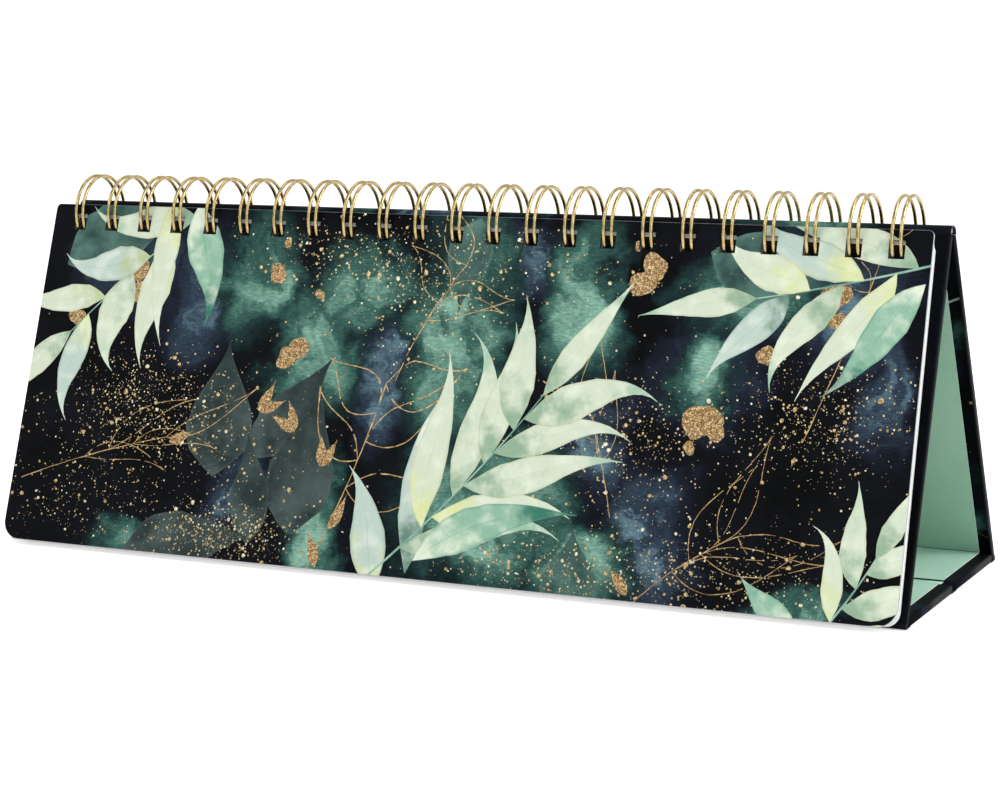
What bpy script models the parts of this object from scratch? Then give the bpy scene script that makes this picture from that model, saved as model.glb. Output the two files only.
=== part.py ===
"""Tent-shaped desk calendar: a fold-flat hard easel with a twin-loop bound cover, leaves and page block.

Lengths are in millimetres until place() turns them into metres. The side view is drawn in (y, z), with
y = 0 and z = 0 at the outer bottom edge of the front panel, -y towards the reader and +z up.
"""

from math import cos, pi, radians, sin, sqrt

import bpy
import numpy as np
from mathutils import Vector

MM = 0.001
CENTRE_Y = 45.86  # half way between the foot of the cover and the foot of the rear panel

# Easel
EASEL_WIDTH = 302.0
FRONT_LEAN, REAR_LEAN = radians(22.0), radians(25.1)
FRONT_HEIGHT, REAR_HEIGHT = 114.0, 116.4
BASE_DEPTH, CREASE_Y, CREASE_GAP = 98.0, 50.2, 2.5
CORNER_GAP = 4.7
WRAP, GLUE, BOARD, LINER = 0.25, 0.05, 2.0, 0.2
TURN_IN, LINER_MARGIN = 14.0, 4.0
PANEL_FOOT = 1.7

# Twin-loop binding
RING_COUNT, PITCH = 23, 12.7
RING_CENTRE, RING_RADIUS = np.array([38.7, 105.2]), 12.0
WIRE_RADIUS, WIRE_SPREAD = 0.55, 1.3
SEAM_START, SEAM_TIP = radians(-72.0), radians(-422.0)
ARC_STEPS = 18

# Cover, leaves and block, hung in front of the easel
PAD_LEAN = radians(18.2)
PAD_FOOT = np.array([-6.2, 1.3])
COVER_WIDTH, COVER_HEIGHT, COVER_THICK = 300.0, 112.0, 0.9
COVER_RADIUS, TOP_RADIUS = 6.0, 1.5
LEAF_WIDTH, LEAF_HEIGHT, LEAF_THICK, LEAF_RADIUS = 299.0, 107.5, 0.2, 4.0
LEAF_DEPTHS = (1.0, 1.3, 1.6)
BLOCK_FRONT, BLOCK_BACK = 2.2, 5.3
SLOT_WIDTH, SLOT_HEIGHT, RAIL_HEIGHT = 4.8, 5.5, 3.1
LEAF_SLOT_HEIGHT = 6.8  # longer, since the flipped leaves meet the loops nearly edge on
WIRE_BELOW_TOP = 6.8
RAIL_GAP = 0.05
EASEL_SLOT_WIDTH = 5.6
FRONT_SLOT, REAR_SLOT = (98.6, 104.2), (105.8, 114.0)

SHEET_UP = np.array([sin(PAD_LEAN), cos(PAD_LEAN)])
SHEET_OUT = np.array([-cos(PAD_LEAN), sin(PAD_LEAN)])

RING_XS = [(i - (RING_COUNT - 1) / 2) * PITCH for i in range(RING_COUNT)]

COLOURS = {
    "greyboard": (0.36, 0.36, 0.37, 1),
    "printed_wrap": (0.012, 0.016, 0.02, 1),
    "mint_paper": (0.43, 0.62, 0.52, 1),
    "cover_card": (0.02, 0.05, 0.06, 1),
    "page_paper": (0.82, 0.82, 0.8, 1),
    "gold_wire": (0.55, 0.38, 0.18, 1),
}


def clear_scene():
    for obj in list(bpy.data.objects):
        bpy.data.objects.remove(obj)


def material(name):
    found = bpy.data.materials.get(name)
    if found:
        return found
    made = bpy.data.materials.new(name)
    made.use_nodes = True
    shader = made.node_tree.nodes["Principled BSDF"]
    shader.inputs["Base Color"].default_value = COLOURS[name]
    shader.inputs["Metallic"].default_value = 1.0 if name == "gold_wire" else 0.0
    shader.inputs["Roughness"].default_value = 0.3 if name == "gold_wire" else 0.7
    return made


def place(x, yz):
    """A world position in metres from a width coordinate and a side-view point in millimetres."""
    return Vector((x * MM, (yz[0] - CENTRE_Y) * MM, yz[1] * MM))


class Plane:
    """A flat panel or sheet: s runs up it, and t goes inwards from its outer face."""

    def __init__(self, foot, up, inward):
        self.foot, self.up, self.inward = np.array(foot), np.array(up), np.array(inward)

    def at(self, x, s, t):
        return place(x, self.foot + self.up * s + self.inward * t)

    def point(self, s, t):
        return self.foot + self.up * s + self.inward * t


FRONT = Plane((0, 0), (sin(FRONT_LEAN), cos(FRONT_LEAN)), (cos(FRONT_LEAN), -sin(FRONT_LEAN)))
REAR = Plane((BASE_DEPTH, 0), (-sin(REAR_LEAN), cos(REAR_LEAN)), (-cos(REAR_LEAN), -sin(REAR_LEAN)))
BASE = Plane((0, 0), (1, 0), (0, 1))
SHEET = Plane(PAD_FOOT, SHEET_UP, -SHEET_OUT)


def add_mesh(name, points, faces, material_name, pivot=(0.0, 0.0), helper=False):
    """Makes an object whose origin lies on its hinge axis, from world-space points."""
    origin = place(0, pivot)
    mesh = bpy.data.meshes.new(name)
    mesh.from_pydata([p - origin for p in points], [], faces)
    mesh.update()
    obj = bpy.data.objects.new(name, mesh)
    obj.location = origin
    bpy.context.scene.collection.objects.link(obj)
    if helper:
        obj.hide_render = True
        obj.display_type = "WIRE"
    else:
        mesh.materials.append(material(material_name))
    return obj


def loft(front_points, back_points):
    """Points and faces of the solid between two matching outlines; the first one is seen from outside
    with its points running counter-clockwise."""
    count = len(front_points)
    faces = [list(range(count)), [2 * count - 1 - i for i in range(count)]]
    for i in range(count):
        j = (i + 1) % count
        faces.append([j, i, i + count, j + count])
    return list(front_points) + list(back_points), faces


def is_ccw_seen_from(points, direction):
    normal = Vector((0, 0, 0))
    for a, b in zip(points, points[1:] + points[:1]):
        normal += a.cross(b)
    return normal.dot(direction) > 0


def sheet_solid(name, plane, outline, t_out, t_in, material_name, pivot=(0.0, 0.0), helper=False):
    """A flat solid from an (x, s) outline, between two depths of a plane."""
    front = [plane.at(x, s, t_out) for x, s in outline]
    back = [plane.at(x, s, t_in) for x, s in outline]
    outward = plane.at(0, 0, -1) - plane.at(0, 0, 0)
    if not is_ccw_seen_from(front, outward):
        front, back = front[::-1], back[::-1]
    points, faces = loft(front, back)
    return add_mesh(name, points, faces, material_name, pivot, helper)


def profile_solid(name, outline, half_width, material_name, pivot=(0.0, 0.0)):
    """A solid with one side-view outline, given in (y, z), along its whole width."""
    left = [place(-half_width, p) for p in outline]
    right = [place(half_width, p) for p in outline]
    if not is_ccw_seen_from(right, Vector((1, 0, 0))):
        left, right = left[::-1], right[::-1]
    points, faces = loft(right, left)
    return add_mesh(name, points, faces, material_name, pivot)


def box_outline(half_width, low, high):
    return [(-half_width, low), (half_width, low), (half_width, high), (-half_width, high)]


def add_boxes_mesh(name, boxes):
    """One helper mesh from boxes, each given as eight corners."""
    points, faces = [], []
    for corners in boxes:
        start = len(points)
        points.extend(corners)
        for face in ((0, 3, 2, 1), (4, 5, 6, 7), (0, 1, 5, 4), (1, 2, 6, 5), (2, 3, 7, 6), (3, 0, 4, 7)):
            faces.append([start + k for k in face])
    return add_mesh(name, points, faces, None, helper=True)


def slot_cutter(name, plane, half, slot_of_depth, t_out, t_in):
    """Boxes that cut a row of slots; slot_of_depth gives the slot's (low, high) at a depth."""
    boxes = []
    for centre in RING_XS:
        corners = []
        for t in (t_in, t_out):
            low, high = slot_of_depth(t)
            for x, s in ((-half, low), (half, low), (half, high), (-half, high)):
                corners.append(plane.at(centre + x, s, t))
        boxes.append(corners)
    cutter = add_boxes_mesh(name, boxes)
    first = boxes[0]
    normal = (first[1] - first[0]).cross(first[3] - first[0])
    if normal.dot(first[4] - first[0]) < 0:
        cutter.data.flip_normals()
    return cutter


def cut(obj, cutter):
    modifier = obj.modifiers.new("slots", "BOOLEAN")
    modifier.operation = "DIFFERENCE"
    modifier.solver = "EXACT"
    modifier.object = cutter


def wrap_outline(half_width, depth):
    """The covering paper in (x, t): over the outer face, round both ends and turned in behind."""
    inner = half_width - WRAP
    reach = half_width - TURN_IN
    back = depth - WRAP
    return [
        (-half_width, 0), (half_width, 0), (half_width, depth), (reach, depth), (reach, back),
        (inner, back), (inner, WRAP), (-inner, WRAP), (-inner, back), (-reach, back),
        (-reach, depth), (-half_width, depth),
    ]


def wrap_solid(name, plane, low, high, pivot):
    depth = WRAP + GLUE + BOARD + GLUE + WRAP
    outline = wrap_outline(EASEL_WIDTH / 2, depth)
    foot = [plane.at(x, low, t) for x, t in outline]
    head = [plane.at(x, high, t) for x, t in outline]
    upward = plane.at(0, 1, 0) - plane.at(0, 0, 0)
    if not is_ccw_seen_from(head, upward):
        foot, head = foot[::-1], head[::-1]
    points, faces = loft(head, foot)
    return add_mesh(name, points, faces, "printed_wrap", pivot)


def panel(name, plane, low, high, liner_low, liner_high, pivot, cutter=None):
    """One stiff panel of the easel: greyboard, the printed paper round it, and the mint lining."""
    half = EASEL_WIDTH / 2
    board = sheet_solid(
        f"{name}_board", plane, box_outline(half - WRAP - GLUE, low, high),
        WRAP + GLUE, WRAP + GLUE + BOARD, "greyboard", pivot,
    )
    wrap = wrap_solid(f"{name}_wrap", plane, low, high, pivot)
    lining_depth = 3 * GLUE + 2 * WRAP + BOARD
    liner = sheet_solid(
        f"{name}_liner", plane, box_outline(half - LINER_MARGIN, liner_low, liner_high),
        lining_depth, lining_depth + LINER, "mint_paper", pivot,
    )
    if cutter:
        for piece in (board, wrap, liner):
            cut(piece, cutter)


FRONT_CORNER = (0.0, 0.15)
REAR_CORNER = (BASE_DEPTH, 0.15)
RIDGE_AXIS = tuple(REAR.point(REAR_HEIGHT + 0.6, 0.2))


def build_easel():
    cutter_depths = (-1.0, 3.6)
    half_slot = EASEL_SLOT_WIDTH / 2
    front_cutter = slot_cutter("front_slot_cutter", FRONT, half_slot, lambda t: FRONT_SLOT, *cutter_depths)
    rear_cutter = slot_cutter("rear_slot_cutter", REAR, half_slot, lambda t: REAR_SLOT, *cutter_depths)
    liner_foot, liner_head = 4.6, 108.0
    panel("front", FRONT, PANEL_FOOT, FRONT_HEIGHT, liner_foot, liner_head, (0.0, 0.0), front_cutter)
    panel("rear", REAR, PANEL_FOOT, REAR_HEIGHT, liner_foot, liner_head + 6.5, RIDGE_AXIS, rear_cutter)
    front_end, rear_start = CREASE_Y - CREASE_GAP, CREASE_Y + CREASE_GAP
    panel("base_front", BASE, CORNER_GAP, front_end, CORNER_GAP, front_end, FRONT_CORNER)
    panel("base_rear", BASE, rear_start, BASE_DEPTH - CORNER_GAP, rear_start, BASE_DEPTH - CORNER_GAP, REAR_CORNER)
    build_hinges(front_end, rear_start)


def strip_along(path, thickness):
    """A thin band's outline: a path of side-view points and the same path moved to its left."""
    path = [np.array(p, float) for p in path]
    moved = []
    for i, p in enumerate(path):
        a, b = path[max(i - 1, 0)], path[min(i + 1, len(path) - 1)]
        along = (b - a) / np.linalg.norm(b - a)
        moved.append(p + thickness * np.array([-along[1], along[0]]))
    return path + moved[::-1]


def build_hinges(front_end, rear_start):
    """The covering paper where it runs free of board: over the ridge, round the feet and across the crease."""
    half = EASEL_WIDTH / 2
    clear = 0.08
    front_top, rear_top = FRONT.point(FRONT_HEIGHT + clear, 0.0), REAR.point(REAR_HEIGHT + clear, 0.0)
    middle = (front_top + rear_top) / 2
    rise = 2.55
    arch = []
    for k in range(13):
        a = pi * k / 12
        across = (front_top - rear_top) / 2 * cos(a)
        arch.append(middle - across * -1 + np.array([0.0, rise * sin(a) ** 0.8]))
    profile_solid("ridge_wrap", strip_along(arch, 0.35), half, "printed_wrap")
    spine_low, spine_high = middle[1] + 0.55, middle[1] + 1.75
    spine = [(middle[0] - 2.0, spine_low), (middle[0] + 1.2, spine_low),
             (middle[0] + 1.0, spine_high), (middle[0] - 1.6, spine_high)]
    profile_solid("spine_board", spine, half - 0.6, "greyboard")
    front_foot = FRONT.point(PANEL_FOOT - clear, 0.0)
    path = [(CORNER_GAP - clear, 0.02), (1.2, 0.02), (0.25, 0.35), tuple(front_foot)]
    profile_solid("front_foot_hinge", strip_along(path, -WRAP), half, "printed_wrap", FRONT_CORNER)
    rear_foot = REAR.point(PANEL_FOOT - clear, 0.0)
    path = [(BASE_DEPTH - CORNER_GAP + clear, 0.02), (BASE_DEPTH - 1.2, 0.02),
            (BASE_DEPTH - 0.25, 0.35), tuple(rear_foot)]
    profile_solid("rear_foot_hinge", strip_along(path, WRAP), half, "printed_wrap", REAR_CORNER)
    low, high = front_end + clear, rear_start - clear
    crease = box_outline(half, low, high)
    sheet_solid("crease_hinge", BASE, crease, 0.02, WRAP, "printed_wrap", FRONT_CORNER)
    top = 3 * GLUE + 2 * WRAP + BOARD
    lining = box_outline(half - LINER_MARGIN, low, high)
    sheet_solid("crease_liner", BASE, lining, top, top + LINER, "mint_paper", FRONT_CORNER)


def wire_crossing(depth):
    """How far up the sheet plane the ring's centre line crosses it, at a depth behind the cover's face."""
    foot = SHEET.point(0, depth)
    offset = (foot - RING_CENTRE) @ SHEET_OUT
    return (RING_CENTRE - foot) @ SHEET_UP - sqrt(RING_RADIUS**2 - offset**2)


def corner_arc(centre_x, centre_s, radius, start, steps=5):
    return [
        (centre_x + radius * cos(start + pi / 2 * k / steps), centre_s + radius * sin(start + pi / 2 * k / steps))
        for k in range(steps + 1)
    ]


def sheet_pair(name, width, height, radius, thickness, depth):
    """A bound sheet: its body, open at the top of each slot, and the rail that closes the slots."""
    half = width / 2
    crossing = wire_crossing(depth + thickness / 2)
    top = crossing + WIRE_BELOW_TOP
    foot = top - height
    shoulder = top - RAIL_HEIGHT - RAIL_GAP
    slot_foot = top - RAIL_HEIGHT - (SLOT_HEIGHT if name == "cover" else LEAF_SLOT_HEIGHT)
    outline = corner_arc(-half + radius, foot + radius, radius, pi)
    outline += corner_arc(half - radius, foot + radius, radius, 1.5 * pi)
    outline.append((half, shoulder))
    for x in reversed(RING_XS):
        right, left = x + SLOT_WIDTH / 2, x - SLOT_WIDTH / 2
        outline += [(right, shoulder), (right, slot_foot), (left, slot_foot), (left, shoulder)]
    outline.append((-half, shoulder))
    card = "cover_card" if name == "cover" else "page_paper"
    wire = tuple(SHEET.point(crossing, depth + thickness / 2))
    sheet_solid(name, SHEET, outline, depth, depth + thickness, card, wire)
    low = top - RAIL_HEIGHT
    rail = [(-half, low), (half, low)]
    rail += corner_arc(half - TOP_RADIUS, top - TOP_RADIUS, TOP_RADIUS, 0, 3)
    rail += corner_arc(-half + TOP_RADIUS, top - TOP_RADIUS, TOP_RADIUS, pi / 2, 3)
    sheet_solid(f"{name}_rail", SHEET, rail, depth, depth + thickness, card, tuple(RING_CENTRE))


def build_block():
    """The rest of the leaves as one solid, its head and foot stepped back along the ring's curve."""
    half = LEAF_WIDTH / 2
    crossings = {t: wire_crossing(t) for t in (BLOCK_FRONT, BLOCK_BACK)}

    def crossing_at(t):
        share = (t - BLOCK_FRONT) / (BLOCK_BACK - BLOCK_FRONT)
        return crossings[BLOCK_FRONT] * (1 - share) + crossings[BLOCK_BACK] * share

    def outline(t):
        top = crossing_at(t) + WIRE_BELOW_TOP
        foot = top - LEAF_HEIGHT
        points = corner_arc(-half + LEAF_RADIUS, foot + LEAF_RADIUS, LEAF_RADIUS, pi)
        points += corner_arc(half - LEAF_RADIUS, foot + LEAF_RADIUS, LEAF_RADIUS, 1.5 * pi)
        points += corner_arc(half - TOP_RADIUS, top - TOP_RADIUS, TOP_RADIUS, 0, 3)
        points += corner_arc(-half + TOP_RADIUS, top - TOP_RADIUS, TOP_RADIUS, pi / 2, 3)
        return points

    front = [SHEET.at(x, s, BLOCK_FRONT) for x, s in outline(BLOCK_FRONT)]
    back = [SHEET.at(x, s, BLOCK_BACK) for x, s in outline(BLOCK_BACK)]
    outward = SHEET.at(0, 0, -1) - SHEET.at(0, 0, 0)
    if not is_ccw_seen_from(front, outward):
        front, back = front[::-1], back[::-1]
    points, faces = loft(front, back)
    block = add_mesh("page_block", points, faces, "page_paper", tuple(RING_CENTRE))

    def slot(t):
        high = crossing_at(t) + WIRE_BELOW_TOP - RAIL_HEIGHT
        return high - SLOT_HEIGHT, high

    cut(block, slot_cutter("block_slot_cutter", SHEET, SLOT_WIDTH / 2, slot, BLOCK_FRONT - 1, BLOCK_BACK + 1))


def ring_point(x, angle, radius=RING_RADIUS):
    return place(x, RING_CENTRE + radius * np.array([cos(angle), sin(angle)]))


def comb_path():
    """The one wire of the binding: out and back round each loop, then along to the next."""
    turns = [SEAM_START + (SEAM_TIP - SEAM_START) * k / ARC_STEPS for k in range(ARC_STEPS + 1)]
    tip = WIRE_SPREAD / RING_RADIUS
    path = []
    for i, x in enumerate(RING_XS):
        left, right = x - WIRE_SPREAD, x + WIRE_SPREAD
        if i > 0:
            path.append(ring_point(left - 0.9, SEAM_START + tip * 0.35))
        path += [ring_point(left, a) for a in turns[:-1]]
        path += [ring_point(left + 0.1, SEAM_TIP + tip * 0.9), ring_point(x - 0.5, SEAM_TIP + tip * 0.1)]
        path += [ring_point(x + 0.5, SEAM_TIP + tip * 0.1), ring_point(right - 0.1, SEAM_TIP + tip * 0.9)]
        path += [ring_point(right, a) for a in reversed(turns[:-1])]
        if i < RING_COUNT - 1:
            path.append(ring_point(right + 0.9, SEAM_START + tip * 0.35))
    return path


def build_comb():
    curve = bpy.data.curves.new("wire_comb", "CURVE")
    curve.dimensions = "3D"
    curve.bevel_depth = WIRE_RADIUS * MM
    curve.bevel_resolution = 1
    curve.use_fill_caps = True
    curve.twist_mode = "MINIMUM"
    path = comb_path()
    spline = curve.splines.new("POLY")
    spline.points.add(len(path) - 1)
    origin = place(0, RING_CENTRE)
    for point, target in zip(spline.points, path):
        point.co = (*(target - origin), 1.0)
    curve.materials.append(material("gold_wire"))
    comb = bpy.data.objects.new("wire_comb", curve)
    comb.location = origin
    bpy.context.scene.collection.objects.link(comb)


def build_pad():
    sheet_pair("cover", COVER_WIDTH, COVER_HEIGHT, COVER_RADIUS, COVER_THICK, 0.0)
    for number, depth in enumerate(LEAF_DEPTHS, start=1):
        sheet_pair(f"leaf_{number}", LEAF_WIDTH, LEAF_HEIGHT, LEAF_RADIUS, LEAF_THICK, depth)
    build_block()


clear_scene()
build_easel()
build_comb()
build_pad()
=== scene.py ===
"""Looks for the tent-shaped flip desk calendar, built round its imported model.

The side view is in millimetres (y, z), with y = 0 and z = 0 at the front panel's outer bottom edge. place()
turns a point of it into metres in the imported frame. On a sheet or panel, x runs along the calendar, s up the
sheet and t inwards from its outer face.
"""

import math
import random

import bmesh
import bpy
import numpy as np
from mathutils import Matrix, Vector
from mathutils.geometry import delaunay_2d_cdt


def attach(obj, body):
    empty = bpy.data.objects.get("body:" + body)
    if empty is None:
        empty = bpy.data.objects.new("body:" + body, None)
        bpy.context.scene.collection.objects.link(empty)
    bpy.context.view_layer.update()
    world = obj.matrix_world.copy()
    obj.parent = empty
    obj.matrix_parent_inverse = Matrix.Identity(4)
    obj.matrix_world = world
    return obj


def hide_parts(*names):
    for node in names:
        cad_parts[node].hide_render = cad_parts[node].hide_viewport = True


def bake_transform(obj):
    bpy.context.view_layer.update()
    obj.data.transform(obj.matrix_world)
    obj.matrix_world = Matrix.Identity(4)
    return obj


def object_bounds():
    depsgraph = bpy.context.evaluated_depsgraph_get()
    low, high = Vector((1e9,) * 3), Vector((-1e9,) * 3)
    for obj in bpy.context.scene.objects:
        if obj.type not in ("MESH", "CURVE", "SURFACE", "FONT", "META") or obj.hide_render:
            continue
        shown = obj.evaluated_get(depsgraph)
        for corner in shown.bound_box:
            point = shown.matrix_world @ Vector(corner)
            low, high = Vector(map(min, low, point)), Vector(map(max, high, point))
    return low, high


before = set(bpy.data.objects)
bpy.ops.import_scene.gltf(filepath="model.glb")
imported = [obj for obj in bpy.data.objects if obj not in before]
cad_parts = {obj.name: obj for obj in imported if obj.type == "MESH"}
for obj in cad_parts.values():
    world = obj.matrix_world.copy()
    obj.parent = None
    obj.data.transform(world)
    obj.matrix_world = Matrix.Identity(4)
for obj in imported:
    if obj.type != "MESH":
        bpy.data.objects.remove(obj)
CAD_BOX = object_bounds()

MM = 0.001
CENTRE_Y = 45.86

# The easel
EASEL_HALF = 151.0
FRONT_LEAN, REAR_LEAN = math.radians(22.0), math.radians(25.1)
FRONT_HEIGHT, REAR_HEIGHT = 114.0, 116.4
PANEL_FOOT, BASE_DEPTH = 1.7, 98.0
CORNER_GAP, CREASE_Y, CREASE_GAP = 4.7, 50.2, 2.5
PANEL_DEPTH = 2.6
EDGE_ROUND = 0.55
FRONT_SLOT, REAR_SLOT = (98.6, 104.2), (105.8, 114.0)
EASEL_SLOT_HALF = 2.8
LINING_DEPTH, LINING, LINING_FOOT = 2.65, 0.2, 4.6
LINING_HALF, LINING_BELOW_SLOT, CREASE_LINING_DEPTH = EASEL_HALF - 4.0, 0.5, 2.05
COVERING, RIDGE_COVERING, RIDGE_RISE, HINGE_CLEAR = 0.25, 0.35, 2.75, 0.08
FOOT_ROUND, CREASE_CLEAR = 0.35, 0.02
BASE_SHIFT = (2.4, 9.7)  # which part of the printed pattern the base shows

# The binding
RING_COUNT, PITCH = 23, 12.7
RING_CENTRE, RING_RADIUS = np.array([38.7, 105.2]), 12.0
WIRE_RADIUS, WIRE_SPREAD = 0.55, 1.3
SEAM_START, SEAM_TIP = -72.0, -422.0
STRAND_STEPS, TIP_STEPS, TIP_ROUND = 64, 12, 0.85
LINK_ROUND, LINK_START, LINK_ALONG, LINK_BACK = 1.1, 1.3, 4.0, 9.0
RING_XS = [(i - (RING_COUNT - 1) / 2) * PITCH for i in range(RING_COUNT)]

# The sheets
PAD_LEAN, PAD_FOOT = math.radians(18.2), np.array([-6.2, 1.3])
COVER_SIZE, COVER_THICK, COVER_ROUND = (300.0, 112.0), 0.9, 6.0
LEAF_SIZE, LEAF_THICK, LEAF_ROUND = (299.0, 107.5), 0.2, 4.0
LEAF_DEPTHS = (1.0, 1.3, 1.6)
BLOCK_FRONT, BLOCK_BACK = 2.2, 5.3
BLOCK_SHEETS = 13
TOP_ROUND = 1.5
SLOT_HALF, WIRE_BELOW_TOP = 2.4, 6.8
COVER_SLOT, LEAF_SLOT, BLOCK_SLOT = (3.1, 8.6), (2.0, 9.9), (2.0, 8.6)
SHADE_BELOW_TOP, SHADE_HALF = 0.2, 2.7


def place(x, yz):
    return Vector((x * MM, (yz[0] - CENTRE_Y) * MM, yz[1] * MM))


class Plane:
    def __init__(self, foot, up, inward):
        self.foot, self.up, self.inward = (np.array(v, float) for v in (foot, up, inward))

    def point(self, s, t):
        return self.foot + self.up * s + self.inward * t

    def at(self, x, s, t):
        return place(x, self.point(s, t))


def leaning(foot, lean, towards_back):
    """A plane that leans by an angle from upright: its inward side is +y, or -y on the rear panel."""
    side = 1 if towards_back else -1
    up = (side * math.sin(lean), math.cos(lean))
    return Plane(foot, up, (side * math.cos(lean), -math.sin(lean)))


FRONT = leaning((0, 0), FRONT_LEAN, True)
REAR = leaning((BASE_DEPTH, 0), REAR_LEAN, False)
BASE = Plane((0, 0), (1, 0), (0, 1))
SHEET = leaning(PAD_FOOT, PAD_LEAN, True)


# ---------------------------------------------------------------- materials


def srgb(code):
    channels = [int(code[i : i + 2], 16) / 255 for i in (0, 2, 4)]
    return tuple(c / 12.92 if c <= 0.04045 else ((c + 0.055) / 1.055) ** 2.4 for c in channels) + (1.0,)


class Recipe:
    """Builds one node material."""

    def __init__(self, name):
        self.material = bpy.data.materials.new(name)
        self.material.use_nodes = True
        self.tree = self.material.node_tree
        self.shader = self.tree.nodes["Principled BSDF"]

    def node(self, kind, values=(), **settings):
        made = self.tree.nodes.new("ShaderNode" + kind)
        for key, value in settings.items():
            setattr(made, key, value)
        for key, value in dict(values).items():
            self.feed(made.inputs[key], value)
        return made

    def feed(self, socket, value):
        if isinstance(value, bpy.types.NodeSocket):
            self.tree.links.new(value, socket)
        else:
            socket.default_value = value

    def uv(self, layer="sheet"):
        return self.node("UVMap", uv_map=layer).outputs["UV"]

    def position(self):
        return self.node("TexCoord").outputs["Object"]

    def stretch(self, vector, scale, offset=(0, 0, 0)):
        return self.node("Mapping", {"Vector": vector, "Scale": scale, "Location": offset}).outputs["Vector"]

    def noise(self, vector, scale, detail=4.0, roughness=0.5, distortion=0.0):
        values = {"Vector": vector, "Scale": scale, "Detail": detail, "Roughness": roughness,
                  "Distortion": distortion}
        return self.node("TexNoise", values).outputs["Fac"]

    def wave(self, vector, scale, direction, distortion=0.0):
        values = {"Vector": vector, "Scale": scale, "Distortion": distortion, "Detail": 1.0}
        return self.node("TexWave", values, bands_direction=direction).outputs["Fac"]

    def math(self, operation, *terms, clamp=False):
        made = self.node("Math", dict(enumerate(terms)), operation=operation, use_clamp=clamp)
        return made.outputs["Value"]

    def vector_math(self, operation, *terms, output="Vector"):
        return self.node("VectorMath", dict(enumerate(terms)), operation=operation).outputs[output]

    def span(self, value, low, high, start=0.0, end=1.0, smooth=True):
        values = {"Value": value, "From Min": low, "From Max": high, "To Min": start, "To Max": end}
        kind = "SMOOTHSTEP" if smooth else "LINEAR"
        return self.node("MapRange", values, interpolation_type=kind, clamp=True).outputs["Result"]

    def mix(self, factor, a, b, mode="MIX"):
        return self.node("Mix", {0: factor, 6: a, 7: b}, data_type="RGBA", blend_type=mode).outputs[2]

    def ramp(self, factor, stops):
        made = self.node("ValToRGB", {"Fac": factor})
        elements = made.color_ramp.elements
        for index, (position, code) in enumerate(stops):
            element = elements[index] if index < 2 else elements.new(position)
            element.position = position
            element.color = srgb(code)
        return made.outputs["Color"]

    def shaded(self, colour, level):
        """The colour made darker or lighter by a grey level."""
        grey = self.node("CombineColor", {0: level, 1: level, 2: level}).outputs["Color"]
        return self.mix(1.0, colour, grey, "MULTIPLY")

    def bump(self, height, strength, distance):
        values = {"Height": height, "Strength": strength, "Distance": distance}
        return self.node("Bump", values).outputs["Normal"]

    def finish(self, colour, roughness, normal, **constants):
        self.feed(self.shader.inputs["Base Color"], colour)
        self.feed(self.shader.inputs["Roughness"], roughness)
        self.feed(self.shader.inputs["Normal"], normal)
        for key, value in constants.items():
            self.shader.inputs[key.replace("_", " ")].default_value = value
        return self.material


def linen(recipe, uv):
    """The fine woven emboss of the lamination, as a height from 0 to 1."""
    across = recipe.wave(uv, 66.0, "X", 1.5)
    along = recipe.wave(uv, 74.0, "Y", 1.5)
    return recipe.math("MULTIPLY_ADD", across, along, recipe.noise(uv, 210.0, 2.0))


def cloud(recipe, warped, centre, radii):
    """A soft patch of paint round a point of the sheet, from 0 outside to 1 in its middle."""
    scale = (100 / radii[0], 100 / radii[1], 1)
    offset = (-centre[0] / radii[0], -centre[1] / radii[1], 0)
    length = recipe.vector_math("LENGTH", recipe.stretch(warped, scale, offset), output="Value")
    return recipe.span(length, 1.25, 0.25)


def layered(recipe, masks):
    total = masks[0]
    for mask in masks[1:]:
        total = recipe.math("MAXIMUM", total, mask)
    return total


TEAL_CLOUDS = [
    ((4, 78), (21, 44)), ((20, 22), (34, 28)), ((-66, 94), (19, 24)), ((-44, 68), (20, 26)),
    ((46, 88), (15, 32)), ((-28, 90), (20, 18)), ((-98, 4), (18, 10)), ((-34, 12), (13, 22)),
    ((52, 8), (20, 15)), ((95, 92), (27, 16)), ((118, 0), (20, 10)), ((86, 66), (13, 16)),
]
NAVY_CLOUDS = [
    ((-116, 94), (26, 17)), ((-88, 84), (17, 28)), ((-64, 22), (15, 17)), ((52, 50), (20, 26)),
    ((72, 18), (20, 26)), ((24, 100), (26, 13)), ((120, 92), (32, 24)), ((88, 66), (24, 20)),
    ((-20, 60), (13, 30)), ((140, 70), (10, 26)),
]


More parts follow.
